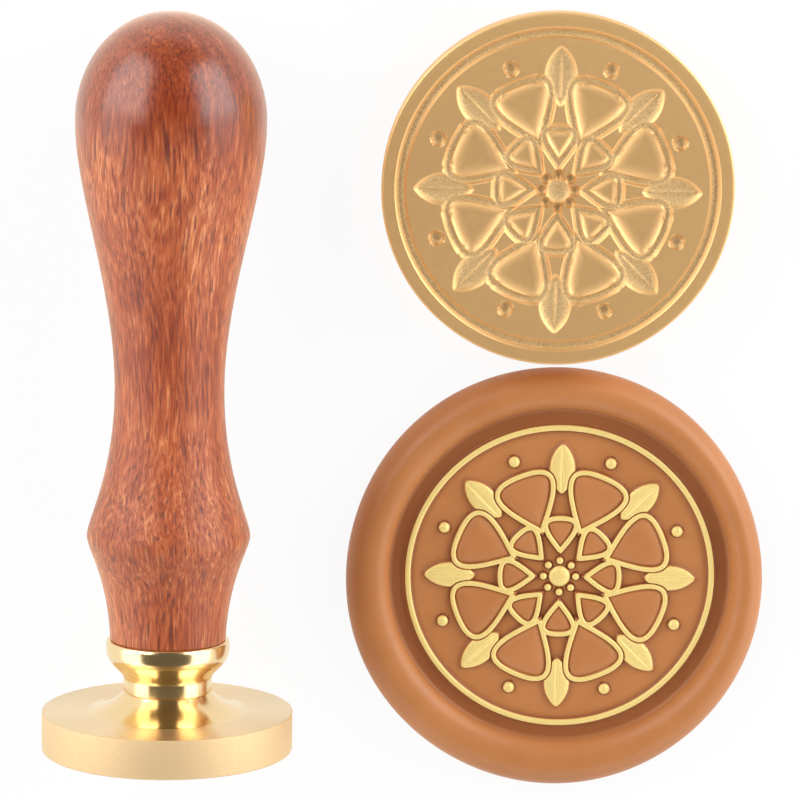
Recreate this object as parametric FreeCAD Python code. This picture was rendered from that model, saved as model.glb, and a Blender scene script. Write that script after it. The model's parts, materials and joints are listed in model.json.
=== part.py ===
"""Wax seal set laid out on a table: a stamp on its side, a loose seal head face up and a wax seal.

Millimetres, +Z up. The origin is on the table, under the middle of the set.
The stamp is a turned wooden handle, a brass ferrule and an engraved brass head on one steel stud.
Each round piece is turned about Z with its working face at Z = 0, then laid in its place.
"""
import FreeCAD
import Part

import math
import os

from FreeCAD import Placement, Rotation, Vector

# Seal heads
SEAL_HEAD_RADIUS = 15.0
LOOSE_HEAD_RADIUS = 21.0
DISC_THICKNESS = 4.7
DISC_BEVEL_WIDTH = 0.3
DISC_BEVEL_DEPTH = 0.25
FLARE_HEIGHT = 2.5
FLARE_BASE_RADIUS = 9.5
FLARE_TOP_RADIUS = 5.1
FLARE_HOLLOW = 0.35
BORE_FLOOR = 1.8
MOUTH_CHAMFER = 0.4

# Ferrule between the head and the handle
FERRULE_HEIGHT = 6.2
NECK_RADIUS = 5.3
NECK_BAND_HEIGHT = 1.55
RING_RADIUS = 7.4
RING_LEVEL = 5.1
FERRULE_RIM_RADIUS = 7.0
COVE_NECK_PULL = 1.0
COVE_RING_PULL = 2.0
RING_TOP_PULL = 0.8

# Steel stud, a machine thread in the head and a wood thread in the handle
STUD_RADIUS = 3.0
THREAD_DEPTH = 0.55
THREAD_PITCH = 1.0
WOOD_THREAD_DEPTH = 0.8
WOOD_THREAD_PITCH = 2.5
THREAD_CREST_SHARE = 0.12
THREAD_ROOT_SHARE = 0.84
THREAD_SINK = 0.1
STUD_SHANK_LENGTH = 3.0
STUD_IN_WOOD = 20.0
STUD_TIP_GAP = 0.4
STUD_TIP_CHAMFER = 0.6
STUD_RUNNING_CLEARANCE = 0.05
STUD_FERRULE_CLEARANCE = 0.2
STUD_WOOD_CLEARANCE = 0.03

# Wooden handle: heights are above its foot, pulls are the reach of the curve at each station
HANDLE_LENGTH = 74.5
FOOT_RADIUS = 6.9
FOOT_ROUND = 0.25
KNOP_RADIUS = 9.7
KNOP_HEIGHT = 12.6
WAIST_RADIUS = 6.48
WAIST_HEIGHT = 30.2
BULGE_RADIUS = 11.2
BULGE_HEIGHT = 61.7
FOOT_PULL = 7.5
FOOT_SPREAD = 0.35
KNOP_PULL_BELOW = 1.6
KNOP_PULL_ABOVE = 1.85
WAIST_PULL_BELOW = 10.3
WAIST_PULL_ABOVE = 11.7
BULGE_PULL_BELOW = 8.5
BULGE_PULL_ABOVE = 7.0
DOME_PULL = 6.4
SPIGOT_RADIUS = 4.6
SPIGOT_HEIGHT = 1.5
SPIGOT_CLEARANCE = 0.15

# Wax seal, pressed with the loose head a little off the middle of an oval pool
WAX_FIELD_THICKNESS = 2.4
WAX_RIM_WIDTH = 4.7
WAX_RIM_HEIGHT = 4.6
WAX_LIP_HEIGHT = 3.5
WAX_EDGE_TUCK = 0.9
WAX_EDGE_LEVEL = 1.4
WAX_CROWN_SHARE = 0.5
WAX_OVAL = 1.03
IMPRINT_OFFSET_X = 0.6
IMPRINT_OFFSET_Y = 0.4

# Engraved rosette: a ring at a set distance from the edge, and petals as shares of the ring's radius
RING_LAND = 2.0
RING_LINE = 0.6
PETAL_LINE = 0.5
LINE_HEIGHT = 0.55
PETAL_HEIGHT = 0.3
GILT_THICKNESS = 0.12
PETAL_GAP = 0.2
PETAL_COUNT = 8
INNER_PETAL = {"base": 0.145, "tip": 0.40, "width": 0.115}
OUTER_PETAL = {"base": 0.295, "tip": 0.725, "width": 0.205}
LEAF = {"base": 0.545, "tip": 0.885, "width": 0.085}
TIP_DOT = {"at": 0.815, "radius": 0.035}
HEART_DOT = {"at": 0.105, "radius": 0.022}
HEART_RADIUS = 0.068

# Layout on the table
WAX_TO_LOOSE_GAP = 1.2
LOOSE_OFFSET = -1.1
STAMP_TO_WAX_GAP = 6.0
STAMP_FOOT_RISE = 8.0

PETAL_STEP = 360 / PETAL_COUNT
AXIS = Vector(0, 0, 1)
ORIGIN = Vector(0, 0, 0)


# Profiles and lathe work


def at(radius, height):
    """A point of a lathe profile."""
    return Vector(radius, 0, height)


def line(start, end):
    return Part.LineSegment(start, end).toShape()


def polyline(points):
    return [line(a, b) for a, b in zip(points, points[1:])]


def curve(*poles):
    """A Bezier edge."""
    bezier = Part.BezierCurve()
    bezier.setPoles(list(poles))
    return bezier.toShape()


def arc(start, middle, end):
    return Part.Arc(start, middle, end).toShape()


def lathe(outline):
    """Solid turned about Z from an outline whose first and last points are on the axis."""
    closing = line(outline[-1].lastVertex(True).Point, outline[0].firstVertex(True).Point)
    face = Part.Face(Part.Wire(outline + [closing]))
    return face.revolve(ORIGIN, AXIS, 360)


def bore(radius, bottom, top):
    return Part.makeCylinder(radius, top - bottom, at(0, bottom))


# Engraved rosette, drawn about the origin and standing on Z = 0


def prism(edges, height):
    return Part.Face(Part.Wire(edges)).extrude(Vector(0, 0, height))


def petal_prism(base, tip, width, height):
    """A drop with its point at base and its round end at tip, along +X."""
    shoulder = base + 0.45 * (tip - base)
    sides = []
    for side in (1, -1):
        sides.append(curve(
            Vector(base, 0, 0),
            Vector(shoulder, side * 0.75 * width, 0),
            Vector(tip, side * 1.75 * width, 0),
            Vector(tip, 0, 0),
        ))
    return prism(sides, height)


def petal_rim(base, tip, width, line_width, height):
    """The outline of a petal as a raised line inside its edge."""
    inner = petal_prism(base + 2 * line_width, tip - line_width, width - line_width, height)
    return petal_prism(base, tip, width, height).cut(inner)


def leaf_prism(base, tip, width, height):
    middle = (base + tip) / 2
    sides = []
    for side in (1, -1):
        sides.append(arc(Vector(base, 0, 0), Vector(middle, side * width, 0), Vector(tip, 0, 0)))
    return prism(sides, height)


def dot(distance, radius, height):
    return Part.makeCylinder(radius, height, Vector(distance, 0, 0))


def turned(shape, degrees):
    copy = shape.copy()
    copy.rotate(ORIGIN, AXIS, degrees)
    return copy


def around(shape):
    """Copies of a shape all round the rosette, one to a petal."""
    return [turned(shape, index * PETAL_STEP) for index in range(PETAL_COUNT)]


def ring_radius(head_radius):
    return head_radius - RING_LAND * head_radius / LOOSE_HEAD_RADIUS


def scaled(sizes, scale):
    return {name: share * scale for name, share in sizes.items()}


def grown(sizes, gap):
    return {"base": sizes["base"] - 2 * gap, "tip": sizes["tip"] + gap, "width": sizes["width"] + gap}


def petal_fronts(head_radius, height):
    """What the inner petals hide of the outer ones, and the outer petals of the leaves."""
    scale = ring_radius(head_radius)
    gap = PETAL_GAP * head_radius / LOOSE_HEAD_RADIUS
    inner = petal_prism(**grown(scaled(INNER_PETAL, scale), gap), height=height)
    outer = petal_prism(**grown(scaled(OUTER_PETAL, scale), gap), height=height)
    return around(inner), around(turned(outer, PETAL_STEP / 2))


def rosette_lines(head_radius, height):
    """The raised lines of the rosette by name, sized for one head."""
    scale = ring_radius(head_radius)
    finer = head_radius / LOOSE_HEAD_RADIUS
    petal_line = PETAL_LINE * finer
    inner_sizes = scaled(INNER_PETAL, scale)
    outer_sizes = scaled(OUTER_PETAL, scale)
    inner_front, outer_front = petal_fronts(head_radius, height)
    inner = petal_rim(**inner_sizes, line_width=petal_line, height=height)
    outer = turned(petal_rim(**outer_sizes, line_width=petal_line, height=height), PETAL_STEP / 2)
    leaf = leaf_prism(**scaled(LEAF, scale), height=height)
    outer_ring = Part.makeCylinder(scale, height)
    inner_ring = Part.makeCylinder(scale - RING_LINE * finer, height)
    heart = [dot(0, HEART_RADIUS * scale, height)]
    heart += around(dot(HEART_DOT["at"] * scale, HEART_DOT["radius"] * scale, height))
    tip_dot = turned(dot(TIP_DOT["at"] * scale, TIP_DOT["radius"] * scale, height), PETAL_STEP / 2)
    return {
        "ring": [outer_ring.cut(inner_ring)],
        "inner_petals": around(inner),
        "outer_petals": around(outer.cut(inner_front)),
        "leaves": around(leaf.cut(outer_front)),
        "dots": heart + around(tip_dot),
    }


def rosette_relief(head_radius, deepen=0.0):
    """All that the rosette raises in wax, or sinks in brass: petals, and lines a little higher."""
    scale = ring_radius(head_radius)
    inner_front, _ = petal_fronts(head_radius, PETAL_HEIGHT)
    inner = petal_prism(**scaled(INNER_PETAL, scale), height=PETAL_HEIGHT)
    outer = turned(petal_prism(**scaled(OUTER_PETAL, scale), height=PETAL_HEIGHT), PETAL_STEP / 2)
    pieces = around(inner) + around(outer.cut(inner_front))
    for group in rosette_lines(head_radius, LINE_HEIGHT + deepen).values():
        pieces += group
    return pieces


# Pieces of the stamp, upright on the seal face


HEAD_HEIGHT = DISC_THICKNESS + FLARE_HEIGHT
FERRULE_TOP = HEAD_HEIGHT + FERRULE_HEIGHT
BORE_RADIUS = STUD_RADIUS + STUD_RUNNING_CLEARANCE
STUD_TIP = BORE_FLOOR + STUD_TIP_GAP
THREAD_ENGAGEMENT = HEAD_HEIGHT - STUD_TIP


def seal_head(radius):
    """Engraved disc with a flared neck and a blind threaded hole in its top."""
    flare_middle = at(
        (FLARE_BASE_RADIUS + FLARE_TOP_RADIUS) / 2 - FLARE_HOLLOW,
        DISC_THICKNESS + FLARE_HEIGHT / 2 - FLARE_HOLLOW,
    )
    flare_foot = at(FLARE_BASE_RADIUS, DISC_THICKNESS)
    flare_top = at(FLARE_TOP_RADIUS, HEAD_HEIGHT)
    outline = polyline([
        at(0, 0),
        at(radius - DISC_BEVEL_WIDTH, 0),
        at(radius, DISC_BEVEL_DEPTH),
        at(radius, DISC_THICKNESS),
        flare_foot,
    ])
    outline.append(arc(flare_foot, flare_middle, flare_top))
    outline.append(line(flare_top, at(0, HEAD_HEIGHT)))
    mouth = Part.makeCone(
        BORE_RADIUS,
        BORE_RADIUS + MOUTH_CHAMFER,
        MOUTH_CHAMFER,
        at(0, HEAD_HEIGHT - MOUTH_CHAMFER),
    )
    body = lathe(outline).cut(bore(BORE_RADIUS, BORE_FLOOR, HEAD_HEIGHT)).cut(mouth)
    return body.cut(rosette_relief(radius, GILT_THICKNESS))


def ferrule():
    """Turned brass collar: a plain band, a cove and a ring, with a seat for the handle's spigot."""
    band_top = at(NECK_RADIUS, HEAD_HEIGHT + NECK_BAND_HEIGHT)
    ring = at(RING_RADIUS, HEAD_HEIGHT + RING_LEVEL)
    rim = at(FERRULE_RIM_RADIUS, FERRULE_TOP)
    outline = polyline([at(0, HEAD_HEIGHT), at(NECK_RADIUS, HEAD_HEIGHT), band_top])
    outline.append(curve(
        band_top,
        band_top + at(0, COVE_NECK_PULL),
        ring - at(0, COVE_RING_PULL),
        ring,
    ))
    outline.append(curve(ring, ring + at(0, RING_TOP_PULL), rim + at(RING_TOP_PULL / 2, 0), rim))
    outline.append(line(rim, at(0, FERRULE_TOP)))
    seat_bottom = FERRULE_TOP - SPIGOT_HEIGHT - SPIGOT_CLEARANCE
    seat = bore(SPIGOT_RADIUS + SPIGOT_CLEARANCE, seat_bottom, FERRULE_TOP)
    hole = bore(STUD_RADIUS + STUD_FERRULE_CLEARANCE, HEAD_HEIGHT, FERRULE_TOP)
    return lathe(outline).cut(seat).cut(hole)


def thread_ridge(depth, pitch, bottom, top):
    """Helical ridge up to the stud's radius, its middle winding from bottom to top."""
    root = STUD_RADIUS - depth
    helix = Part.makeHelix(pitch, top - bottom, root)
    helix.translate(at(0, bottom))
    crest_half = THREAD_CREST_SHARE * pitch / 2
    root_half = THREAD_ROOT_SHARE * pitch / 2
    corners = [
        at(root - THREAD_SINK, bottom - root_half),
        at(STUD_RADIUS, bottom - crest_half),
        at(STUD_RADIUS, bottom + crest_half),
        at(root - THREAD_SINK, bottom + root_half),
    ]
    section = Part.makePolygon(corners + corners[:1])
    return Part.Wire(helix).makePipeShell([section], True, True)


def stud():
    """Double-ended screw: machine thread below, plain shank, wood thread above."""
    shank_bottom = FERRULE_TOP - SPIGOT_HEIGHT
    shank_top = FERRULE_TOP + STUD_SHANK_LENGTH
    wood_end = FERRULE_TOP + STUD_IN_WOOD
    machine_root = STUD_RADIUS - THREAD_DEPTH
    wood_root = STUD_RADIUS - WOOD_THREAD_DEPTH
    core = lathe(polyline([
        at(0, STUD_TIP),
        at(machine_root - STUD_TIP_CHAMFER, STUD_TIP),
        at(machine_root, STUD_TIP + STUD_TIP_CHAMFER),
        at(machine_root, shank_bottom),
        at(STUD_RADIUS, shank_bottom),
        at(STUD_RADIUS, shank_top),
        at(wood_root, shank_top),
        at(wood_root, wood_end - STUD_TIP_CHAMFER),
        at(wood_root - STUD_TIP_CHAMFER, wood_end),
        at(0, wood_end),
    ]))
    machine = thread_ridge(
        THREAD_DEPTH,
        THREAD_PITCH,
        STUD_TIP + STUD_TIP_CHAMFER + THREAD_PITCH / 2,
        shank_bottom - THREAD_PITCH / 2,
    )
    wood = thread_ridge(
        WOOD_THREAD_DEPTH,
        WOOD_THREAD_PITCH,
        shank_top + WOOD_THREAD_PITCH / 2,
        wood_end - STUD_TIP_CHAMFER - WOOD_THREAD_PITCH / 2,
    )
    return core.fuse(machine).fuse(wood)


def handle_outline():
    """The handle's side from its foot to the top of its dome."""
    foot = at(FOOT_RADIUS, FERRULE_TOP + FOOT_ROUND)
    knop = at(KNOP_RADIUS, FERRULE_TOP + KNOP_HEIGHT)
    waist = at(WAIST_RADIUS, FERRULE_TOP + WAIST_HEIGHT)
    bulge = at(BULGE_RADIUS, FERRULE_TOP + BULGE_HEIGHT)
    top = at(0, FERRULE_TOP + HANDLE_LENGTH)
    return [
        curve(foot, foot + at(FOOT_SPREAD, FOOT_PULL), knop - at(0, KNOP_PULL_BELOW), knop),
        curve(knop, knop + at(0, KNOP_PULL_ABOVE), waist - at(0, WAIST_PULL_BELOW), waist),
        curve(waist, waist + at(0, WAIST_PULL_ABOVE), bulge - at(0, BULGE_PULL_BELOW), bulge),
        curve(bulge, bulge + at(0, BULGE_PULL_ABOVE), top + at(DOME_PULL, 0), top),
    ]


def handle():
    """Turned wooden grip with a spigot below and a pilot hole for the stud."""
    spigot_end = FERRULE_TOP - SPIGOT_HEIGHT
    foot_edge = at(FOOT_RADIUS - FOOT_ROUND, FERRULE_TOP)
    foot = at(FOOT_RADIUS, FERRULE_TOP + FOOT_ROUND)
    foot_centre = at(FOOT_RADIUS - FOOT_ROUND, FERRULE_TOP + FOOT_ROUND)
    diagonal = FOOT_ROUND / math.sqrt(2)
    outline = polyline([
        at(0, spigot_end),
        at(SPIGOT_RADIUS, spigot_end),
        at(SPIGOT_RADIUS, FERRULE_TOP),
        foot_edge,
    ])
    outline.append(arc(foot_edge, foot_centre + at(diagonal, -diagonal), foot))
    outline += handle_outline()
    pilot = bore(STUD_RADIUS + STUD_WOOD_CLEARANCE, spigot_end, FERRULE_TOP + STUD_IN_WOOD)
    return lathe(outline).cut(pilot)


# Wax seal, lying face up on the table


WAX_RADIUS = LOOSE_HEAD_RADIUS + WAX_RIM_WIDTH


def wax_pool():
    """Oval of wax poured on a flat sheet, with a swollen rim, before its middle is pressed."""
    lip_radius = WAX_RADIUS - WAX_RIM_WIDTH
    crown_radius = lip_radius + WAX_CROWN_SHARE * WAX_RIM_WIDTH
    lip = at(lip_radius, WAX_LIP_HEIGHT)
    crown = at(crown_radius, WAX_RIM_HEIGHT)
    side = at(WAX_RADIUS, WAX_EDGE_LEVEL)
    tuck = at(WAX_RADIUS - WAX_EDGE_TUCK, 0)
    drop = at(0, WAX_EDGE_LEVEL)
    crown_pull = (WAX_RADIUS - crown_radius) / 2
    side_pull = (WAX_RIM_HEIGHT - WAX_EDGE_LEVEL) / 2
    lip_pull = (WAX_RIM_HEIGHT - WAX_LIP_HEIGHT) / 2
    outline = [
        line(at(0, 0) - drop, tuck - drop),
        line(tuck - drop, tuck),
        curve(tuck, tuck + at(WAX_EDGE_TUCK / 2, 0), side - at(0, WAX_EDGE_LEVEL / 2), side),
        curve(side, side + at(0, side_pull), crown + at(crown_pull, 0), crown),
        curve(crown, crown - at(crown_pull, 0), lip + at(0, lip_pull), lip),
        line(lip, at(0, WAX_LIP_HEIGHT)),
    ]
    stretch = FreeCAD.Matrix()
    stretch.scale(Vector(1, WAX_OVAL, 1))
    pool = lathe(outline).transformGeometry(stretch)
    sheet_side = 4 * WAX_RADIUS * max(1, WAX_OVAL)
    corner = Vector(-sheet_side / 2, -sheet_side / 2, -2 * WAX_EDGE_LEVEL)
    sheet = Part.makeBox(sheet_side, sheet_side, 2 * WAX_EDGE_LEVEL, corner)
    return pool.cut(sheet).translated(Vector(-IMPRINT_OFFSET_X, -IMPRINT_OFFSET_Y, 0))


def wax_seal():
    """The pool with the head's imprint in it and the rosette standing up in the imprint."""
    over = WAX_RIM_HEIGHT + DISC_BEVEL_DEPTH
    imprint = lathe(polyline([
        at(0, WAX_FIELD_THICKNESS),
        at(LOOSE_HEAD_RADIUS - DISC_BEVEL_WIDTH, WAX_FIELD_THICKNESS),
        at(LOOSE_HEAD_RADIUS, WAX_FIELD_THICKNESS + DISC_BEVEL_DEPTH),
        at(LOOSE_HEAD_RADIUS, over),
        at(0, over),
    ]))
    raised = [piece.translated(at(0, WAX_FIELD_THICKNESS)) for piece in rosette_relief(LOOSE_HEAD_RADIUS)]
    return wax_pool().cut(imprint).multiFuse(raised)


def gilding():
    """Gold film on the raised lines of the wax, one compound for each kind of line."""
    lift = at(0, WAX_FIELD_THICKNESS + LINE_HEIGHT)
    films = {}
    for name, group in rosette_lines(LOOSE_HEAD_RADIUS, GILT_THICKNESS).items():
        films["gilt_" + name] = Part.makeCompound([film.translated(lift) for film in group])
    return films


# Layout


def resting_tilt():
    """Slope of the stamp's axis when it lies on the rim of its disc and on its bulge, in degrees."""
    slopes = []
    for edge in handle_outline():
        for point in edge.discretize(Number=200):
            slopes.append(math.atan2(SEAL_HEAD_RADIUS - point.x, point.z - DISC_THICKNESS))
    return math.degrees(min(slopes))


def stamp_placement():
    """Lays the stamp along +Y, head towards -Y, to the left of the wax seal."""
    tilt = resting_tilt()
    slope = math.radians(tilt)
    axis_height = SEAL_HEAD_RADIUS * math.cos(slope) + DISC_THICKNESS * math.sin(slope)
    across = -IMPRINT_OFFSET_X - WAX_RADIUS - STAMP_TO_WAX_GAP - SEAL_HEAD_RADIUS
    along = -IMPRINT_OFFSET_Y - WAX_RADIUS * WAX_OVAL + STAMP_FOOT_RISE
    return Placement(Vector(across, along, axis_height), Rotation(Vector(1, 0, 0), -90 - tilt))


def loose_head_placement():
    """Stands the loose head on its neck, face up, behind the wax seal."""
    across = LOOSE_OFFSET - IMPRINT_OFFSET_X
    along = -IMPRINT_OFFSET_Y + WAX_RADIUS * WAX_OVAL + WAX_TO_LOOSE_GAP + LOOSE_HEAD_RADIUS
    return Placement(Vector(across, along, HEAD_HEIGHT), Rotation(Vector(1, 0, 0), 180))


def placed(shape, placement):
    return shape.transformed(placement.toMatrix(), True)


def assembly():
    """All the pieces by node name, moved so that the origin is under the middle of the set."""
    stamp = stamp_placement()
    pieces = {
        "handle": placed(handle(), stamp),
        "stud": placed(stud(), stamp),
        "ferrule": placed(ferrule(), stamp),
        "seal_head": placed(seal_head(SEAL_HEAD_RADIUS), stamp),
        "loose_head": placed(seal_head(LOOSE_HEAD_RADIUS), loose_head_placement()),
        "wax_seal": wax_seal(),
        **gilding(),
    }
    box = Part.makeCompound(list(pieces.values())).optimalBoundingBox(False, False)
    shift = Vector(-box.Center.x, -box.Center.y, -box.ZMin)
    return {name: piece.translated(shift) for name, piece in pieces.items()}, shift


def main():
    os.makedirs("parts", exist_ok=True)
    pieces, shift = assembly()
    for name, piece in pieces.items():
        piece.exportStep(os.path.join("parts", name + ".step"))
        box = piece.optimalBoundingBox(False, False)
        print(f"{name}: {len(piece.Solids)} solids, valid {piece.isValid()}, volume {piece.Volume:.1f} mm3, "
              f"size {box.XLength:.2f} x {box.YLength:.2f} x {box.ZLength:.2f}, from z {box.ZMin:.3f}")
    print("shift", shift, "tilt", resting_tilt(), "engagement", THREAD_ENGAGEMENT)


main()
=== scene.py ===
"""Looks of a wax seal set on a pale table: a stamp, a loose engraved head and a gilded wax seal."""

import json
import math

import bpy
import numpy as np
from mathutils import Matrix, Vector


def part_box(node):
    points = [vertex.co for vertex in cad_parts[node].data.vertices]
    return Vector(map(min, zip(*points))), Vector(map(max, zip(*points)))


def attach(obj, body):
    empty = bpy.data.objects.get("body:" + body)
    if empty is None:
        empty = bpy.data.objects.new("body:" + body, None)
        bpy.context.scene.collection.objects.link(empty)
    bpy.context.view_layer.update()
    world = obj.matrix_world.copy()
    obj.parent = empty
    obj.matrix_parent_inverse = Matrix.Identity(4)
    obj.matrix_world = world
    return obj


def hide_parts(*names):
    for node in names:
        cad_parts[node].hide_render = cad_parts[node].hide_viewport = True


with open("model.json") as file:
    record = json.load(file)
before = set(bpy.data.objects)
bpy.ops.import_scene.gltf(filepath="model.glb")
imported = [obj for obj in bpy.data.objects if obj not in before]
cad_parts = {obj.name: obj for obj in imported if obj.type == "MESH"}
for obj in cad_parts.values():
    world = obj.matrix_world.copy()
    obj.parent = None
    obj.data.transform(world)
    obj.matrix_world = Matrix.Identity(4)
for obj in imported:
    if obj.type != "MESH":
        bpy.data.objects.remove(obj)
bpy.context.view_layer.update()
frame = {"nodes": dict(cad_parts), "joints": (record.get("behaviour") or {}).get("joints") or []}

MM = 0.001

# Sizes of the engraved heads and of the wax, in millimetres
HEAD_RADIUS = 21.0
STAMP_HEAD_RADIUS = 15.0
DISC_THICKNESS = 4.7
HEAD_HEIGHT = 7.2
FLARE_BASE = 9.5
FLARE_TOP = 5.1
FLARE_HOLLOW = 0.35
BORE_RADIUS = 3.05
BORE_FLOOR = 1.8
EDGE_ROUND = 0.25
BACK_BEVEL = 0.12
BEVEL_MIDDLE = 0.03
BORE_CHAMFER = 0.4
ENGRAVED_DEPTH = 0.9
RING_RADIUS = 19.0
WAX_FIELD = 2.4
WAX_LIP = 3.5
WAX_CROWN = 4.6
WAX_RADIUS = 25.75
WAX_OVAL = 1.035
WAX_OFFSET = (-0.6, -0.55)
WAX_EDGE_LEVEL = 1.4
WAX_EDGE_INSET = 0.1
WAX_TUCK = 0.9
WALL_FOOT = 0.6
WALL_KNEE = 0.25
WALL_DROP = 0.25

# Small waves of the wax's edge and crown: size in millimetres, count all round, start in radians
EDGE_WAVES = ((0.09, 2, 0.5), (0.07, 3, 2.1), (0.04, 5, 1.0))
CROWN_WAVES = ((0.05, 2, 1.3), (0.04, 3, 0.2))

# Rosette: petals and leaves as shares of the ring's radius, line sizes in millimetres
PETALS = 8
STEP = 2 * math.pi / PETALS
INNER = {"base": 0.145, "tip": 0.40, "width": 0.115}
OUTER = {"base": 0.295, "tip": 0.725, "width": 0.205}
LEAF = {"base": 0.545, "tip": 0.885, "width": 0.085}
TIP_DOT = (0.815, 0.035)
HEART_DOT = (0.105, 0.022)
HEART = 0.068
LINE = 0.5
RING_LINE = 0.6
GAP = 0.2
LINE_HEIGHT = 0.55
DOT_HEIGHT = 0.65
BEAD_HEIGHT = 0.13
WAX_LINE_SPREAD = 0.16
BRASS_LINE_SPREAD = 0.42
LEAF_STEP = 0.3
LEAF_DOME = 0.35
LEAF_REACH = 1.2
VEIN_DEPTH = 0.16
VEIN_WIDTH = 0.13
INNER_PILLOW = 0.55
INNER_REACH = 1.0
OUTER_PILLOW = 0.66
OUTER_REACH = 1.8

# Gold film: its reach past a line, its height over leaves and dots, and how far it goes down at its edges
FILM_OVERHANG = 0.03
LEAF_FILM = 0.04
DOT_FILM = 0.07
FILM_SKIRT = 0.3
FILM_SUNK = 0.05
LEAF_TURN_DOWN = 0.1

# Gold film on a leaf: how far it stays off the leaf's two ends and its sides, and its least half width
LEAF_ENDS = (0.1, 0.05)
LEAF_SIDES = 0.04
LEAF_LEAST = 0.12

# Fineness of the petals' outlines and of the gold film
PETAL_STEPS = 240
OUTER_SPACING = 0.15
INNER_SPACING = 0.12
RING_STEPS = 640
LEAF_STEPS = (70, 120)
DOT_STEPS = 28

# Fineness of a face: steps in half a petal's angle, and rings of vertices
STAMP_GRID = (24, 84)
HEAD_GRID = (40, 112)
FACE_START = 0.12
FACE_MARGIN = 0.6

# Rings of vertices on a head's flare, and on the wax's wall, inner and outer rim and turned-in edge
FLARE_RINGS = 14
WALL_RINGS = 8
INSIDE_RINGS = 10
OUTSIDE_RINGS = 12
UNDER_RINGS = 6

# Angles of the rings round a head's edge in radians, and how far other rings stand off sharp edges
ROUND_ANGLES = (0.4, 0.8, 1.2, 1.57)
RIM_OFFSET = 0.4
FLARE_OFFSET = 0.3
NECK_OFFSET = 0.1
BORE_OFFSET = 0.05

# Radii of the last rings, round the middle of a bore's floor and of the wax's underside
BORE_MIDDLE = 0.3
WAX_MIDDLE = 0.4

# Places of materials in the stamp head's list, after the disc's own
FACE, FLARE, BACK = 1, 2, 3

# Mesh attributes that tell where a head is engraved, and the painted shade on wax close beside a raised
# line
DRAWN = "drawn"
PAINTED_SHADE_ATTRIBUTE = "painted_crease_shade"
# Painted shade: how far it reaches past a line's foot, and its share at the foot of the imprint's wall
PAINTED_SHADE_WIDTH = 0.45
PAINTED_SHADE_ON_WALL = 0.55

# Places along the handle, in metres: the polish of its round end, and the knop
POLISH_START = 0.0372
POLISH_FULL = 0.0425
KNOP = -0.0055

# Table, in metres, and the share of it that glows
TABLE_HALF = 3.0
TABLE_COLOUR = (0.95, 0.95, 0.95, 1)
TABLE_GLOW = 0.92

# Lamps: name, place in metres, turns about X and Y in degrees, width and height in metres, power in watts
LAMPS = (
    ("left", (-0.55, 0.55, 0.35), (0, -57), (0.72, 0.90), 7.6),
    ("right", (0.68, 0.55, 0.33), (0, 60), (0.72, 0.90), 8.6),
    ("front", (0, -0.72, 0.38), (65, 0), (2.00, 0.60), 5.0),
    ("left_low", (-0.62, -0.20, 0.26), (0, -68), (0.50, 0.56), 1.8),
    ("right_low", (0.62, -0.20, 0.26), (0, 68), (0.50, 0.56), 2.0),
)
ROOM_COLOUR = (1.0, 0.90, 0.80, 1)
ROOM_STRENGTH = 0.13

# Camera: angles, distance and aim in metres, sensor and focal length in millimetres
TILT = math.radians(11.0)
ROLL = math.radians(1.0)
DISTANCE = 0.360
AIM = Vector((-0.00143, 0.00006, 0.0))
SENSOR_WIDTH = 36.0
FOCAL_LENGTH = 131.9

# Places taken from the frame
unscrew = next(joint for joint in frame["joints"] if joint["name"] == "head_unscrew")
away = Vector(unscrew["axis"]).normalized()
seal_face = Vector(unscrew["pos_m"]) + away * HEAD_HEIGHT * MM
loose_low, loose_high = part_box("loose_head")
loose_middle = (loose_low + loose_high) / 2
ring_low, ring_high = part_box("gilt_ring")
imprint = (ring_low + ring_high) / 2


# Rosette relief


def smoothstep(low, high, value):
    """Share that grows from 0 to 1 as a value goes from low to high, level at both ends."""
    t = np.clip((value - low) / (high - low), 0, 1)
    return t * t * (3 - 2 * t)


def bezier(points, t):
    """Point of a cubic curve with four points, each a radius and a height, or a pair for each angle."""
    weights = ((1 - t) ** 3, 3 * (1 - t) ** 2 * t, 3 * (1 - t) * t ** 2, t ** 3)
    radius = sum(w * p[0] for w, p in zip(weights, points))
    height = sum(w * p[1] for w, p in zip(weights, points))
    return radius, height


def petal_side(sizes, inset=0.0):
    """One side of a drop-shaped petal along +X, from its point to the middle of its round end."""
    base = sizes["base"] * RING_RADIUS + 2 * inset
    tip = sizes["tip"] * RING_RADIUS - inset
    width = sizes["width"] * RING_RADIUS - inset
    shoulder = base + 0.45 * (tip - base)
    pulls = [(base, 0), (shoulder, 0.75 * width), (tip, 1.75 * width), (tip, 0)]
    return bezier(pulls, np.linspace(0, 1, PETAL_STEPS))


def distance_to_path(x, y, path_x, path_y):
    """Least distance of each point from a polyline."""
    ax, ay = path_x[:-1], path_y[:-1]
    dx, dy = np.diff(path_x), np.diff(path_y)
    px, py = x.reshape(-1, 1), y.reshape(-1, 1)
    t = np.clip(((px - ax) * dx + (py - ay) * dy) / (dx * dx + dy * dy + 1e-12), 0, 1)
    found = np.hypot(px - ax - t * dx, py - ay - t * dy).min(axis=1)
    return found.reshape(x.shape)


def petal_depth(x, y, sizes):
    """Distance inside a petal's edge, negative outside."""
    side_x, side_y = petal_side(sizes)
    inside = (x > side_x[0]) & (x < side_x[-1]) & (y < np.interp(x, side_x, side_y))
    distance = distance_to_path(x, y, side_x, side_y)
    return np.where(inside, distance, -distance)


def leaf_depth(x, y):
    """Distance inside the edge of a leaf of two arcs, negative outside."""
    base, tip, width = (LEAF[name] * RING_RADIUS for name in ("base", "tip", "width"))
    radius = ((tip - base) ** 2 / 4 + width ** 2) / (2 * width)
    return radius - np.hypot(x - (base + tip) / 2, y + radius - width)


def dome(depth, reach):
    """Height of a round shoulder that is level at reach inside an edge."""
    t = np.clip(depth / reach, 0, 1)
    return np.sqrt(np.clip(1 - (1 - t) ** 2, 0, 1))


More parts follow.
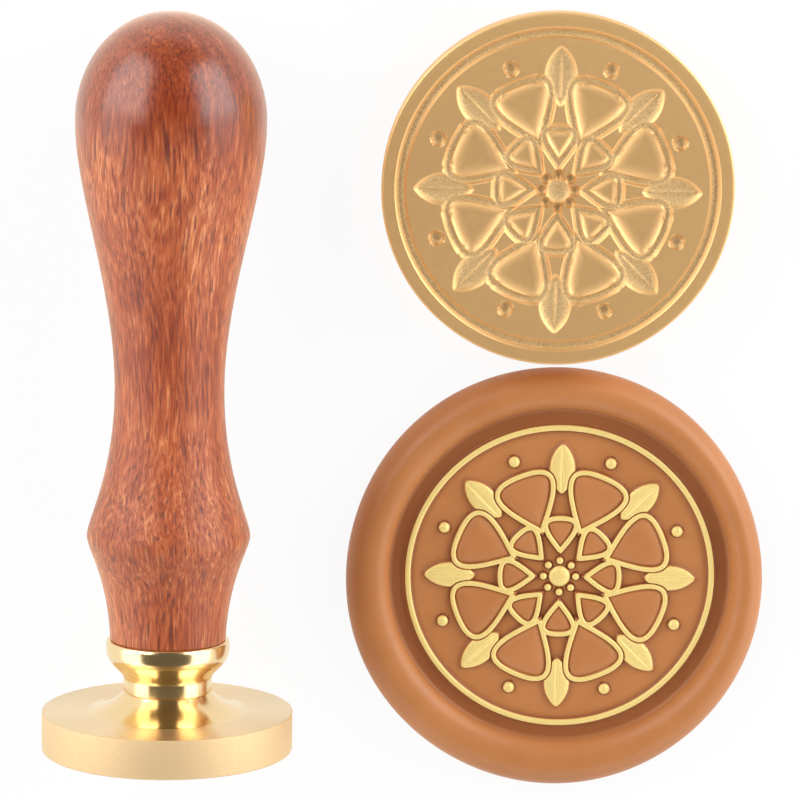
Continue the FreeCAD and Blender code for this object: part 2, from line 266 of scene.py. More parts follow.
def ridge(distance, half_line, spread):
    """Section of a raised line: a level top, and sides that spread at their feet."""
    return LINE_HEIGHT * (1 - smoothstep(0.7 * half_line, half_line + spread, distance))


def folded(x, y):
    """Distance of points from the middle, and their angle off the nearest inner petal's axis."""
    radius = np.hypot(x, y)
    angle = np.abs((np.arctan2(y, x) + STEP / 2) % STEP - STEP / 2)
    return radius, angle


def rosette(x, y, spread):
    """Height of the rosette above the field, and how far each point is on a drawn line, leaf or dot."""
    radius, angle = folded(x, y)
    xi, yi = radius * np.cos(angle), radius * np.sin(angle)
    xo, yo = radius * np.cos(STEP / 2 - angle), radius * np.sin(STEP / 2 - angle)
    inner = petal_depth(xi, yi, INNER)
    outer = petal_depth(xo, yo, OUTER)
    leaf = leaf_depth(xi, yi)
    free_of_inner = smoothstep(0.0, GAP, -inner)
    free_of_outer = smoothstep(0.0, GAP, -outer)
    ring_line = ridge(np.abs(radius - RING_RADIUS + RING_LINE / 2), RING_LINE / 2, spread)
    inner_line = ridge(np.abs(inner - LINE / 2), LINE / 2, spread)
    outer_line = free_of_inner * ridge(np.abs(outer - LINE / 2), LINE / 2, spread)
    vein = VEIN_DEPTH * np.exp(-((yi / VEIN_WIDTH) ** 2)) * smoothstep(0.15, 0.5, leaf)
    blade = LEAF_STEP * smoothstep(-0.8 * spread, 0.05, leaf) + LEAF_DOME * dome(leaf, LEAF_REACH)
    leaves = free_of_outer * (blade - vein)
    dots = 0
    placed_dots = ((xi, yi, HEART_DOT), (xi, yi, (0.0, HEART)), (xo, yo, TIP_DOT))
    for dot_x, dot_y, (distance, size) in placed_dots:
        depth = size * RING_RADIUS - np.hypot(dot_x - distance * RING_RADIUS, dot_y)
        dots = np.maximum(dots, DOT_HEIGHT * dome(depth + spread / 2, size * RING_RADIUS))
    drawn = np.maximum.reduce([ring_line, inner_line, outer_line, leaves, dots])
    inner_pillow = INNER_PILLOW * dome(inner - LINE, INNER_REACH)
    outer_pillow = free_of_inner * OUTER_PILLOW * dome(outer - LINE, OUTER_REACH)
    pillows = np.maximum(inner_pillow, outer_pillow)
    return np.maximum(drawn, pillows), smoothstep(0.1, 0.3, drawn) * (drawn >= pillows)


def rosette_table(radii, half_sector, spread):
    """The rosette on rings of equal angles, worked out for half a petal and mirrored all round."""
    angles = np.linspace(0, STEP / 2, half_sector + 1)
    index = np.arange(2 * PETALS * half_sector) % (2 * half_sector)
    index = np.where(index > half_sector, 2 * half_sector - index, index)
    height, drawn = rosette(np.outer(radii, np.cos(angles)), np.outer(radii, np.sin(angles)), spread)
    return height[:, index], drawn[:, index]


# Meshes


def mesh_object(name, vertices, faces, sharp):
    """A mesh from points in millimetres, shaded smooth but at edges over an angle in degrees."""
    mesh = bpy.data.meshes.new(name)
    mesh.from_pydata([tuple(v) for v in np.asarray(vertices) * MM], [], faces)
    mesh.validate()
    mesh.shade_smooth()
    mesh.set_sharp_from_angle(angle=math.radians(sharp))
    made = bpy.data.objects.new(name, mesh)
    bpy.context.scene.collection.objects.link(made)
    return made


def ring_faces(rings, segments):
    """Quads between rings of vertices, each ring after the other."""
    faces = []
    for ring in range(rings - 1):
        low = ring * segments
        high = low + segments
        for k in range(segments):
            after = (k + 1) % segments
            faces.append((low + k, low + after, high + after, high + k))
    return faces


def fan(centre, ring_first, segments, flip=False):
    """Triangles from one vertex to a ring."""
    faces = []
    for k in range(segments):
        a, b = ring_first + k, ring_first + (k + 1) % segments
        faces.append((centre, b, a) if flip else (centre, a, b))
    return faces


def wrapped(rings):
    """Closed skin over rings of vertices (rings x segments x 3), with a fan at each end."""
    count, segments = rings.shape[:2]
    vertices = np.vstack([rings.reshape(-1, 3), rings[0].mean(axis=0), rings[-1].mean(axis=0)])
    faces = ring_faces(count, segments)
    faces += fan(count * segments, 0, segments, True)
    faces += fan(count * segments + 1, (count - 1) * segments, segments)
    return vertices, faces


def arc_points(start, end, bulge, count):
    """Points of a shallow curve from start to end, pulled towards bulge."""
    t = np.linspace(0, 1, count)[:, None]
    start, end, bulge = (np.array(p, float) for p in (start, end, bulge))
    return (1 - t) ** 2 * start + 2 * (1 - t) * t * bulge + t ** 2 * end


def face_radii(scale, face_rings):
    """Radii of the rings of vertices that carry the rosette."""
    return np.linspace(FACE_START, (RING_RADIUS + FACE_MARGIN) * scale, face_rings)


def angles_round(half_sector):
    """Angles of a ring's vertices, all round the petals."""
    segments = 2 * PETALS * half_sector
    return np.arange(segments) * 2 * math.pi / segments


def rings_of(sections, angles):
    """Rings of vertices about Z, from a radius and a height for each."""
    cos, sin = np.cos(angles), np.sin(angles)
    return np.array([np.stack([r * cos, r * sin, z + 0 * angles], axis=-1) for r, z in sections])


def head_points(radius, half_sector, face_rings):
    """Rings of an engraved head with its face at Z = 0, from the face's middle to the bore's bottom."""
    scale = radius / HEAD_RADIUS
    radii = face_radii(scale, face_rings)
    depth = rosette_table(radii / scale, half_sector, BRASS_LINE_SPREAD)[0] * (0.5 + 0.5 * scale)
    corner = radius - EDGE_ROUND
    turned = [(corner - RIM_OFFSET, 0), (corner, 0)]
    for angle in ROUND_ANGLES:
        turned.append((corner + EDGE_ROUND * math.sin(angle), EDGE_ROUND * (1 - math.cos(angle))))
    back = DISC_THICKNESS
    turned.append((radius, back - BACK_BEVEL))
    turned.append((radius - BEVEL_MIDDLE, back - BEVEL_MIDDLE))
    turned.append((radius - BACK_BEVEL, back))
    turned.append((FLARE_BASE + FLARE_OFFSET, back))
    foot, top = (FLARE_BASE, back), (FLARE_TOP, HEAD_HEIGHT)
    hollow = [(a + b) / 2 - 2 * FLARE_HOLLOW for a, b in zip(foot, top)]
    turned += [tuple(p) for p in arc_points(foot, top, hollow, FLARE_RINGS)]
    turned.append((FLARE_TOP - NECK_OFFSET, HEAD_HEIGHT))
    turned.append((BORE_RADIUS + BORE_CHAMFER, HEAD_HEIGHT))
    turned.append((BORE_RADIUS, HEAD_HEIGHT - BORE_CHAMFER))
    turned.append((BORE_RADIUS, BORE_FLOOR + BORE_OFFSET))
    turned.append((BORE_RADIUS - BORE_OFFSET, BORE_FLOOR))
    turned.append((BORE_MIDDLE, BORE_FLOOR))
    return rings_of([*zip(radii, depth), *turned], angles_round(half_sector))


def mark(piece, name, shares):
    """Store a share from 0 to 1 for each vertex of a piece's face, the first of its mesh."""
    values = np.zeros(len(piece.data.vertices))
    values[:shares.size] = shares.ravel()
    piece.data.attributes.new(name, "FLOAT", "POINT").data.foreach_set("value", values)


def mark_drawn(head, radius, half_sector, face_rings):
    """Tell where a head's lines and leaves are engraved."""
    scale = radius / HEAD_RADIUS
    radii = face_radii(scale, face_rings) / scale
    mark(head, DRAWN, rosette_table(radii, half_sector, WAX_LINE_SPREAD)[1])


def mark_painted_shade(seal, half_sector, face_rings):
    """Store painted shade on the wax: more close to the foot of a raised line, leaf or dot, and in the
    imprint's corner and up its wall.
    """
    radii = face_radii(1.0, face_rings)
    wide = rosette_table(radii, half_sector, PAINTED_SHADE_WIDTH)[0]
    low = rosette_table(radii, half_sector, WAX_LINE_SPREAD)[0]
    beside = np.clip(1.7 * (wide - low) / LINE_HEIGHT, 0, 1)
    # Painted shade in the corner of the field beyond the ring line, fading up the imprint's wall
    corner = PAINTED_SHADE_ON_WALL * smoothstep(RING_RADIUS, RING_RADIUS + 0.5, radii)[:, None]
    wall = np.repeat(np.linspace(PAINTED_SHADE_ON_WALL, 0.0, WALL_RINGS), beside.shape[1]).reshape(WALL_RINGS, -1)
    mark(seal, PAINTED_SHADE_ATTRIBUTE, np.vstack([np.maximum(beside, corner), wall]))


def uneven(angles, waves):
    """Small waves all round the wax."""
    return sum(size * np.cos(count * angles + start) for size, count, start in waves)


def pool_edge(angles):
    """Distance from the imprint's middle to the wax's edge: an oval off the middle, a little uneven."""
    cos, sin = np.cos(angles), np.sin(angles)
    x, y = WAX_OFFSET
    square = cos ** 2 + (sin / WAX_OVAL) ** 2
    half = cos * x + sin * y / WAX_OVAL ** 2
    rest = x ** 2 + (y / WAX_OVAL) ** 2 - (WAX_RADIUS - WAX_EDGE_INSET) ** 2
    return (half + np.sqrt(half ** 2 - square * rest)) / square + uneven(angles, EDGE_WAVES)


def wax_points(half_sector, face_rings):
    """Rings of the wax seal about its imprint's middle, from the field out over the rim and under it."""
    angles = angles_round(half_sector)
    radii = face_radii(1.0, face_rings)
    height = rosette_table(radii, half_sector, WAX_LINE_SPREAD)[0]
    sections = [(r, WAX_FIELD + h) for r, h in zip(radii, height)]
    edge = pool_edge(angles)
    crown = WAX_CROWN + uneven(angles, CROWN_WAVES)
    crown_radius = (HEAD_RADIUS + edge) / 2
    half_rim = edge - crown_radius
    foot, knee = HEAD_RADIUS - WALL_FOOT, HEAD_RADIUS + WALL_KNEE
    wall_top = (knee, WAX_LIP - WALL_DROP)
    crest = (crown_radius, crown)
    side = (edge, WAX_EDGE_LEVEL)
    seat = (edge - WAX_TUCK, 0)
    middle_level = (WAX_CROWN + WAX_EDGE_LEVEL) / 2
    wall = [(foot, WAX_FIELD), (foot + 0.75, WAX_FIELD), (knee - 0.2, WAX_LIP - 0.8), wall_top]
    inside = [wall_top, (knee + 0.35, WAX_LIP + 0.45), (crown_radius - 0.55 * half_rim, crown), crest]
    outside = [crest, (crown_radius + 0.5 * half_rim, crown), (edge, middle_level), side]
    under = [side, (edge, WAX_EDGE_LEVEL / 2), (edge - WAX_TUCK / 2, 0), seat]
    curves = (wall, WALL_RINGS), (inside, INSIDE_RINGS), (outside, OUTSIDE_RINGS), (under, UNDER_RINGS)
    for points, rings in curves:
        sections += [bezier(points, t) for t in np.linspace(0, 1, rings, endpoint=False)]
    sections += [seat, (WAX_MIDDLE, 0)]
    return rings_of(sections, angles)


def line_film(path, half_line, closed):
    """Bead of gold along a raised line, as rings of points round its section."""
    tangent = np.gradient(path, axis=0)
    if closed:
        tangent[0] = tangent[-1] = path[1] - path[-2]
    tangent /= np.linalg.norm(tangent, axis=1)[:, None]
    normal = np.stack([-tangent[:, 1], tangent[:, 0]], axis=-1)
    top = WAX_FIELD + LINE_HEIGHT
    shares = (-0.94, -0.7, -0.35, 0, 0.35, 0.7, 0.94)
    bead = [(share, top + BEAD_HEIGHT * math.sqrt(1 - share ** 2)) for share in shares]
    section = [(-1.0, top - FILM_SKIRT), (-1.0, top), *bead, (1.0, top), (1.0, top - FILM_SKIRT)]
    rows = []
    for share, z in section:
        rows.append(np.column_stack([path + normal * share * half_line, np.full(len(path), z)]))
    return np.stack(rows, axis=1)


def tube(rings, closed):
    """Skin of a swept section: joined end to end, or capped."""
    count, segments = rings.shape[:2]
    vertices = rings.reshape(-1, 3)
    faces = [face[::-1] for face in ring_faces(count, segments)]
    if closed:
        last = (count - 1) * segments
        for k in range(segments):
            after = (k + 1) % segments
            faces.append((last + k, k, after, last + after))
    else:
        faces.append(tuple(range(segments)))
        faces.append(tuple((count - 1) * segments + k for k in range(segments - 1, -1, -1)))
    return vertices, faces


def joined(parts):
    """Several sets of vertices and faces as one."""
    vertices, faces, first = [], [], 0
    for points, polygons in parts:
        vertices.append(points)
        faces += [tuple(first + k for k in polygon) for polygon in polygons]
        first += len(points)
    return np.vstack(vertices), faces


def all_round(part, half_step=False):
    """Copies of a part at every petal, or halfway between petals."""
    points, faces = part
    copies = []
    for k in range(PETALS):
        angle = (k + (0.5 if half_step else 0)) * STEP
        c, s = math.cos(angle), math.sin(angle)
        turned = points @ np.array([[c, s, 0], [-s, c, 0], [0, 0, 1]])
        copies.append((turned, faces))
    return joined(copies)


def evenly(path, spacing):
    """The same path with points at even distances."""
    length = np.concatenate([[0], np.cumsum(np.linalg.norm(np.diff(path, axis=0), axis=1))])
    count = max(8, int(length[-1] / spacing))
    at = np.linspace(0, length[-1], count)
    return np.column_stack([np.interp(at, length, path[:, 0]), np.interp(at, length, path[:, 1])])


def petal_path(sizes):
    """Middle of a petal's outline, from its point round its end and back."""
    x, y = petal_side(sizes, LINE / 2)
    return np.vstack([np.column_stack([x, y]), np.column_stack([x, -y])[::-1][1:]])


def turned_to_outer_petal(path):
    """A path drawn along +X, turned by half a step."""
    c, s = math.cos(STEP / 2), math.sin(STEP / 2)
    return path @ np.array([[c, s], [-s, c]])


def outer_petal_film():
    """Gold on an outer petal's outline, where no inner petal lies on it."""
    path = turned_to_outer_petal(petal_path(OUTER))
    radius, angle = folded(path[:, 0], path[:, 1])
    inner = petal_depth(radius * np.cos(angle), radius * np.sin(angle), INNER)
    shown = evenly(path[inner < -GAP], OUTER_SPACING)
    return tube(line_film(shown, LINE / 2 + FILM_OVERHANG, False), False)


def inner_petal_film():
    """Gold on an inner petal's outline."""
    path = evenly(petal_path(INNER), INNER_SPACING)[:-1]
    return tube(line_film(path, LINE / 2 + FILM_OVERHANG, True), True)


def ring_film():
    """Gold on the ring line."""
    angles = np.linspace(0, 2 * math.pi, RING_STEPS, endpoint=False)
    middle = RING_RADIUS - RING_LINE / 2
    path = np.column_stack([middle * np.cos(angles), middle * np.sin(angles)])
    return tube(line_film(path, RING_LINE / 2 + FILM_OVERHANG, True), True)


def leaf_film():
    """Gold over a whole leaf, as wide as the leaf shows between the petals."""
    base, tip = LEAF["base"] * RING_RADIUS, LEAF["tip"] * RING_RADIUS
    x = np.linspace(base + LEAF_ENDS[0], tip - LEAF_ENDS[1], LEAF_STEPS[0])
    offsets = np.linspace(0, LEAF["width"] * RING_RADIUS, LEAF_STEPS[1])
    grid_x, grid_y = np.meshgrid(x, offsets, indexing="ij")
    radius, angle = folded(grid_x, grid_y)
    outer = petal_depth(radius * np.cos(STEP / 2 - angle), radius * np.sin(STEP / 2 - angle), OUTER)
    bare = (leaf_depth(grid_x, grid_y) > LEAF_SIDES) & (outer < -GAP)
    half_width = np.where(bare, grid_y, 0).max(axis=1)
    keep = half_width > LEAF_LEAST
    x, half_width = x[keep], half_width[keep]
    half = (0.12, 0.25, 0.4, 0.6, 0.8, 0.95, 1.0)
    across = [*(-share for share in reversed(half)), 0.0, *half]
    rows = []
    for share in across:
        y = half_width * share
        film = rosette(x, y, WAX_LINE_SPREAD)[0] + (LEAF_FILM if abs(share) < 1 else -LEAF_TURN_DOWN)
        rows.append(np.column_stack([x, y, WAX_FIELD + film]))
    under = np.column_stack([x, 0 * x, np.full(len(x), WAX_FIELD - FILM_SUNK)])
    return tube(np.stack(rows + [under], axis=1), False)


def dot_film(distance, size):
    """Gold over one round dot."""
    size = size * RING_RADIUS
    angles = np.linspace(0, 2 * math.pi, DOT_STEPS, endpoint=False)
    wide = size + WAX_LINE_SPREAD / 2
    shares = np.array([1.0, 0.93, 0.82, 0.66, 0.48, 0.27, 0.08])
    section = [(1.0, -FILM_SUNK)]
    section += list(zip(shares, DOT_HEIGHT * dome(wide - shares * size, size) + DOT_FILM))
    rings = rings_of([(share * size, WAX_FIELD + height) for share, height in section], angles)
    return wrapped(rings + np.array([distance * RING_RADIUS, 0, 0]))


# Materials


class Shader:
    """A material with a principled surface, and short ways to add nodes to it."""

    def __init__(self, name):
        self.material = bpy.data.materials.new(name)
        self.material.use_nodes = True
        self.tree = self.material.node_tree
        self.surface = self.tree.nodes["Principled BSDF"]
        self.place = self.node("ShaderNodeTexCoord").outputs["Object"]

    def node(self, kind, inputs=None, **settings):
        """A new node, with its settings and inputs."""
        made = self.tree.nodes.new(kind)
        for name, value in settings.items():
            setattr(made, name, value)
        for name, value in (inputs or {}).items():
            self.put(made.inputs[name], value)
        return made

    def put(self, socket, value):
        """Link a socket to another one, or give it a value."""
        if isinstance(value, bpy.types.NodeSocket):
            self.tree.links.new(value, socket)
        else:
            socket.default_value = value

    def set(self, **values):
        """Set inputs of the surface, named with an underscore for each space."""
        for name, value in values.items():
            self.put(self.surface.inputs[name.replace("_", " ")], value)

    def stretched(self, scale, shift=(0, 0, 0), place=None):
        """Place in the set's frame times a scale for each axis, per metre."""
        inputs = {"Vector": place or self.place, "Scale": scale, "Location": shift}
        return self.node("ShaderNodeMapping", inputs).outputs["Vector"]

    def noise(self, vector, scale, detail, roughness):
        inputs = {"Vector": vector, "Scale": scale, "Detail": detail, "Roughness": roughness}
        return self.node("ShaderNodeTexNoise", inputs).outputs["Fac"]

    def grain(self, scale, detail, roughness=0.55, shift=(0, 0, 0), place=None):
        """Noise with a scale for each axis, per metre."""
        return self.noise(self.stretched(scale, shift, place), 1.0, detail, roughness)

    def math(self, operation, a, b=0.0):
        return self.node("ShaderNodeMath", {0: a, 1: b}, operation=operation).outputs[0]

    def vector(self, operation, a, b=(0, 0, 0), result="Vector"):
        return self.node("ShaderNodeVectorMath", {0: a, 1: b}, operation=operation).outputs[result]

    def attribute(self, name):
        """Share that is stored on the mesh."""
        return self.node("ShaderNodeAttribute", attribute_name=name).outputs["Fac"]

    def remap(self, value, low, high, to_low=0.0, to_high=1.0):
        """A value moved from one range to another, and held within it."""
        inputs = {"Value": value, "From Min": low, "From Max": high, "To Min": to_low, "To Max": to_high}
        return self.node("ShaderNodeMapRange", inputs).outputs["Result"]

    def ramp(self, value, stops):
        """Colour at a value, from stops that each hold a position and a colour."""
        made = self.node("ShaderNodeValToRGB", {"Fac": value})
        elements = made.color_ramp.elements
        while len(elements) < len(stops):
            elements.new(0.5)
        for element, (position, colour) in zip(elements, stops):
            element.position = position
            element.color = (*colour, 1)
        return made.outputs["Color"]

    def mix(self, share, a, b, blend="MIX"):
        inputs = {"Factor": share, "A": a, "B": b}
        return self.node("ShaderNodeMix", inputs, data_type="RGBA", blend_type=blend).outputs["Result"]

    def bump(self, height, distance, strength):
        """Fine relief on the surface, with its depth in metres."""
        inputs = {"Height": height, "Distance": distance, "Strength": strength}
        self.set(Normal=self.node("ShaderNodeBump", inputs).outputs["Normal"])


def rosewood():
    """Wood with swaying fibres, sawn layers, pores and dark veins, and a polish on its round end."""
    s = Shader("rosewood")
    inputs = {"Vector": s.stretched((70, 45, 70)), "Scale": 1.0, "Detail": 2.0}
    sway = s.node("ShaderNodeTexNoise", inputs).outputs["Color"]
    s.place = s.vector("ADD", s.place, s.vector("MULTIPLY", sway, (0.003, 0.003, 0.003)))
    cloud = s.grain((95, 32, 95), 3.0, 0.5)
    streak = s.grain((950, 60, 950), 4.0, 0.6)
    fibre = s.grain((3500, 270, 3500), 3.0, 0.6)
    pores = s.grain((3100, 200, 3100), 1.0, 0.5, (5, 3, 8))
    inputs = {"Vector": s.place, "Rotation": (0.16, 0.55, 0.0)}
    sawn = s.node("ShaderNodeVectorRotate", inputs, rotation_type="EULER_XYZ").outputs["Vector"]
    layers = s.grain((130, 60, 1250), 2.0, 0.55, (1, 4, 2), sawn)
    veins = s.grain((900, 75, 900), 3.0, 0.5, (2, 9, 4))
    tone = 0.0
    for pattern, share in ((cloud, 0.20), (streak, 0.14), (layers, 0.20), (fibre, 0.41)):
        tone = s.math("ADD", tone, s.math("MULTIPLY", s.remap(pattern, 0.3, 0.7), share))
    colour = s.ramp(s.remap(tone, 0.09, 0.78), [
        (0.0, (0.16, 0.017, 0.003)),
        (0.35, (0.32, 0.052, 0.012)),
        (0.65, (0.48, 0.110, 0.031)),
        (1.0, (0.77, 0.30, 0.120)),
    ])
    dark = s.math("MULTIPLY", s.remap(pores, 0.60, 0.66), 0.6)
    dark = s.math("MAXIMUM", dark, s.math("MULTIPLY", s.remap(veins, 0.62, 0.74), 0.75))
    colour = s.mix(dark, colour, (0.10, 0.013, 0.010, 1))
    along = s.node("ShaderNodeSeparateXYZ", {"Vector": s.place}).outputs["Y"]
    level = s.math("ADD", along, s.math("MULTIPLY", cloud, 0.010))
    polish = s.remap(level, POLISH_START, POLISH_FULL)
    off_knop = s.math("ABSOLUTE", s.math("SUBTRACT", level, KNOP))
    deepened = s.math("MAXIMUM", polish, s.remap(off_knop, 0.003, 0.010, 0.35, 0.0))
    deep = s.mix(0.9, colour, (0.60, 0.38, 0.24, 1), "MULTIPLY")
    colour = s.mix(deepened, colour, deep)
    s.set(
        Base_Color=colour, Roughness=0.5, Specular_IOR_Level=s.remap(polish, 0, 1, 0.5, 0.0),
        Coat_Weight=polish, Coat_IOR=1.6, Coat_Roughness=0.26,
        Sheen_Weight=0.75, Sheen_Roughness=0.45, Sheen_Tint=(1.0, 0.76, 0.54, 1),
    )
    s.bump(s.math("SUBTRACT", fibre, s.math("MULTIPLY", dark, 0.7)), 0.00006, 0.8)
    return s.material


def turned_brass(name, colour, roughness, marks, streak=0.0):
    """Brass off a lathe: fine rings about the stamp's axis, and a gloss drawn out across the rings."""
    s = Shader(name)
    offset = s.vector("SUBTRACT", s.place, tuple(seal_face))
    along = s.vector("DOT_PRODUCT", offset, tuple(away), "Value")
    across = s.vector("CROSS_PRODUCT", offset, tuple(away))
    out = s.vector("LENGTH", across, result="Value")
    lathe = s.node("ShaderNodeCombineXYZ", {"X": along, "Y": out}).outputs["Vector"]
    rings = s.noise(lathe, 7000.0, 3.0, 0.7)
    grain = s.grain((9000, 9000, 9000), 3.0)
    cloud = s.grain((90, 90, 90), 3.0)
    darker = (*(0.94 * c for c in colour), 1)
    lighter = (*(min(1.0, 1.05 * c) for c in colour), 1)
    s.set(
        Base_Color=s.mix(cloud, darker, lighter),
        Metallic=1.0,
        Roughness=s.remap(grain, 0.3, 0.7, 0.75 * roughness, 1.25 * roughness),
        Anisotropic=streak,
        Anisotropic_Rotation=0.25,
        Tangent=across,
    )
    s.bump(rings, marks, 0.6)
    return s.material


def engraved_brass():
    """Satin brass whose engraved lines are pale and grainy."""
    s = Shader("engraved_brass")
    drawn = s.attribute(DRAWN)
    grain = s.grain((5200, 5200, 5200), 4.0, 0.7)
    satin = s.grain((2200, 2200, 2200), 3.0)
    cloud = s.grain((70, 70, 70), 3.0)
    field = s.mix(cloud, (0.84, 0.535, 0.235, 1), (0.93, 0.61, 0.28, 1))
    pale = s.mix(s.remap(grain, 0.3, 0.7), (0.55, 0.36, 0.155, 1), (0.90, 0.69, 0.385, 1))
    s.set(
        Base_Color=s.mix(drawn, field, pale),
        Metallic=1.0,
        Roughness=s.math("ADD", s.remap(satin, 0.3, 0.7, 0.51, 0.56), s.math("MULTIPLY", drawn, 0.14)),
    )
    grit = s.math("MULTIPLY", grain, s.remap(drawn, 0, 1, 0.02, 1.0))
    s.bump(s.math("ADD", grit, s.math("MULTIPLY", satin, 0.02)), 0.00005, 0.8)
    return s.material


def sealing_wax_with_painted_shade():
    """Copper-brown wax, with painted shade: darker and deeper in colour in the creases beside its raised
    lines and at its imprint's wall.
    """
    s = Shader("sealing_wax_with_painted_shade")
    cloud = s.grain((75, 75, 75), 3.0)
    skin = s.grain((900, 900, 900), 3.0, 0.5)
    colour = s.mix(s.remap(cloud, 0.35, 0.65), (0.46, 0.178, 0.057, 1), (0.52, 0.21, 0.072, 1))
    # Painted shade: a dark red-brown mixed in where the mesh stores the painted crease shade
    painted_crease_shade = s.math("MULTIPLY", s.attribute(PAINTED_SHADE_ATTRIBUTE), 0.9)
    s.set(
        Base_Color=s.mix(painted_crease_shade, colour, (0.19, 0.036, 0.006, 1)),
        Roughness=s.remap(skin, 0.3, 0.7, 0.38, 0.48), Specular_IOR_Level=0.4,
        Subsurface_Weight=0.1, Subsurface_Radius=(0.0016, 0.0006, 0.0002), Subsurface_Scale=1.0,
    )
    s.bump(skin, 0.00003, 0.4)
    return s.material


def gold_paint():
    """Pale gold with fine flecks."""
    s = Shader("gold_paint")
    fleck = s.grain((5200, 5200, 5200), 3.0, 0.65)
    colour = s.mix(s.remap(fleck, 0.3, 0.7), (0.86, 0.63, 0.19, 1), (0.93, 0.75, 0.30, 1))
    s.set(Base_Color=colour, Metallic=0.15, Roughness=s.remap(fleck, 0.3, 0.7, 0.34, 0.5))
    s.bump(fleck, 0.00002, 0.5)
    return s.material


def threaded_steel():
    """Grey steel with a fine grain."""
    s = Shader("threaded_steel")
    grain = s.grain((4000, 4000, 4000), 3.0)
    colour = s.mix(grain, (0.50, 0.51, 0.53, 1), (0.66, 0.67, 0.69, 1))
    s.set(Base_Color=colour, Metallic=1.0, Roughness=s.remap(grain, 0.3, 0.7, 0.26, 0.42))
    s.bump(grain, 0.00001, 0.5)
    return s.material


def give(piece, *materials):
    """Put materials on a piece in place of those that it has."""
    piece.data.materials.clear()
    for material in materials:
        piece.data.materials.append(material)


# Pieces


def on_stamp(points):
    """Points of a head with its face at Z = 0, moved to the stamp's end."""
    turn = np.array(Matrix.Rotation(math.atan2(-away.z, -away.y) - math.pi / 2, 3, "X"))
    return points @ turn.T + np.array(seal_face) / MM


def on_table(points):
    """Points of a head with its face at Z = 0, turned face up where the loose head stands."""
    turned = points * np.array([1, -1, -1])
    return turned + np.array([loose_middle.x / MM, loose_middle.y / MM, HEAD_HEIGHT])


def in_imprint(points):
    """Points of the wax seal about its imprint's middle, moved to where the seal lies."""
    return points + np.array([imprint.x / MM, imprint.y / MM, 0])


def add_piece(name, part, body, node, slot, *materials, sharp):
    """A piece of vertices and faces that rides on a body and stands for a node."""
    piece = mesh_object(name, *part, sharp)
    give(piece, *materials)
    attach(piece, body)
    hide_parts(node)
    return piece


def share_out_brass(head):
    """Give the face, the flare and the back of the stamp's head their own brass."""
    back_from, back_to = DISC_THICKNESS - 0.01, DISC_THICKNESS + 0.02
    for polygon in head.data.polygons:
        offset = polygon.center - seal_face
        along = offset.dot(-away)
        depth = along / MM
        radius = (offset + away * along).length / MM
        if depth < ENGRAVED_DEPTH and radius < STAMP_HEAD_RADIUS - EDGE_ROUND:
            polygon.material_index = FACE
        elif depth > back_to:
            polygon.material_index = FLARE
        elif depth > back_from:
            polygon.material_index = BACK


gold = gold_paint()
wax = sealing_wax_with_painted_shade()
polished = turned_brass("polished_brass", (0.93, 0.71, 0.38), 0.19, 0.000003)
flare_brass = turned_brass("flare_brass", (0.92, 0.69, 0.36), 0.17, 0.000008, 0.6)
faced_brass = turned_brass("faced_brass", (0.90, 0.69, 0.40), 0.36, 0.000008, 0.7)
disc_brass = turned_brass("disc_brass", (0.80, 0.62, 0.375), 0.72, 0.000010)
engraved = engraved_brass()

give(frame["nodes"]["handle"], rosewood())
give(frame["nodes"]["ferrule"], polished)
give(frame["nodes"]["stud"], threaded_steel())

points, faces = wrapped(head_points(STAMP_HEAD_RADIUS, *STAMP_GRID))
stamp_head = add_piece("stamp_head", (on_stamp(points), faces), "seal_head", "seal_head", "brass",
                       disc_brass, engraved, flare_brass, faced_brass, sharp=35)
mark_drawn(stamp_head, STAMP_HEAD_RADIUS, *STAMP_GRID)
share_out_brass(stamp_head)
points, faces = wrapped(head_points(HEAD_RADIUS, *HEAD_GRID))
loose_head = add_piece("engraved_head", (on_table(points), faces), "loose_head", "loose_head", "brass",
                       engraved, sharp=35)
mark_drawn(loose_head, HEAD_RADIUS, *HEAD_GRID)
points, faces = wrapped(wax_points(*HEAD_GRID))
wax_seal = add_piece("wax", (in_imprint(points), faces), "wax_seal", "wax_seal", "wax", wax, sharp=60)
mark_painted_shade(wax_seal, *HEAD_GRID)

films = {
    "gilt_ring": ring_film(),
    "gilt_inner_petals": all_round(inner_petal_film()),
    "gilt_outer_petals": all_round(outer_petal_film()),
    "gilt_leaves": all_round(leaf_film()),
    "gilt_dots": joined([
        dot_film(0.0, HEART), all_round(dot_film(*HEART_DOT)), all_round(dot_film(*TIP_DOT), True),
    ]),
}
for name, (points, faces) in films.items():
    add_piece(name + "_paint", (in_imprint(points), faces), "wax_seal", name, "gold_paint", gold, sharp=70)


# Table, light and camera


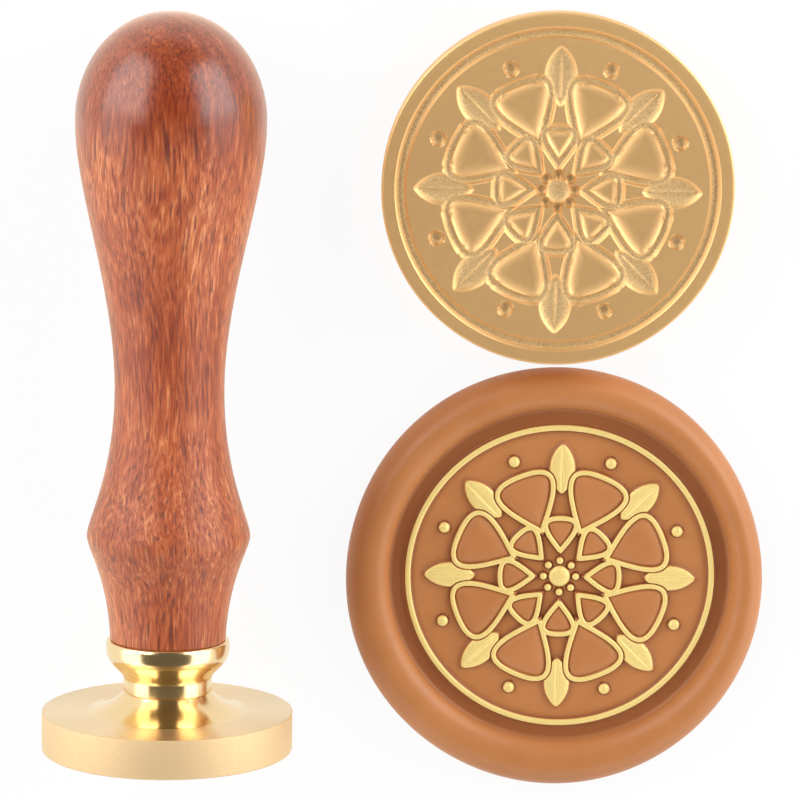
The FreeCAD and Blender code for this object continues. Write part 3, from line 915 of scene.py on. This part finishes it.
def table_top():
    """A white table that glows where it is seen, but for a share that shows shadows."""
    corners = [(x * TABLE_HALF, y * TABLE_HALF, 0) for x, y in ((-1, -1), (1, -1), (1, 1), (-1, 1))]
    mesh = bpy.data.meshes.new("table")
    mesh.from_pydata(corners, [], [(0, 1, 2, 3)])
    top = bpy.data.objects.new("table", mesh)
    bpy.context.scene.collection.objects.link(top)
    s = Shader("table_white")
    path = s.node("ShaderNodeLightPath").outputs
    seen = s.math("MAXIMUM", path["Is Camera Ray"], path["Is Glossy Ray"])
    seen = s.math("MAXIMUM", seen, path["Is Transmission Ray"])
    paper = s.node("ShaderNodeBsdfDiffuse", {"Color": TABLE_COLOUR}).outputs[0]
    glow = s.node("ShaderNodeEmission", {"Strength": 1.0}).outputs[0]
    inputs = {"Fac": s.math("MULTIPLY", seen, TABLE_GLOW), 1: paper, 2: glow}
    both = s.node("ShaderNodeMixShader", inputs).outputs[0]
    s.put(s.tree.nodes["Material Output"].inputs["Surface"], both)
    s.tree.nodes.remove(s.surface)
    mesh.materials.append(s.material)


def soft_box(name, place, turn, size, power):
    """A lamp that looks down, turned by angles about X and Y."""
    data = bpy.data.lights.new(name, "AREA")
    data.shape = "RECTANGLE"
    data.size, data.size_y = size
    data.energy = power
    light = bpy.data.objects.new(name, data)
    light.location = place
    light.rotation_euler = (math.radians(turn[0]), math.radians(turn[1]), 0)
    bpy.context.scene.collection.objects.link(light)


def room_light():
    """Dim warm light from all round."""
    world = bpy.data.worlds.new("studio")
    bpy.context.scene.world = world
    world.use_nodes = True
    background = world.node_tree.nodes["Background"].inputs
    background["Color"].default_value = ROOM_COLOUR
    background["Strength"].default_value = ROOM_STRENGTH


def place_camera():
    """A view from nearly overhead."""
    data = bpy.data.cameras.new("camera")
    data.sensor_width = SENSOR_WIDTH
    data.lens = FOCAL_LENGTH
    data.clip_start, data.clip_end = 0.01, 20.0
    camera = bpy.data.objects.new("camera", data)
    bpy.context.scene.collection.objects.link(camera)
    look = Matrix.Rotation(-TILT, 4, "X") @ Matrix.Rotation(ROLL, 4, "Z")
    eye = AIM + Vector((0, math.sin(TILT), math.cos(TILT))) * DISTANCE
    camera.matrix_world = Matrix.Translation(eye) @ look
    bpy.context.scene.camera = camera


table_top()
for lamp in LAMPS:
    soft_box(*lamp)
room_light()
place_camera()
bpy.context.scene.view_settings.view_transform = "Standard"
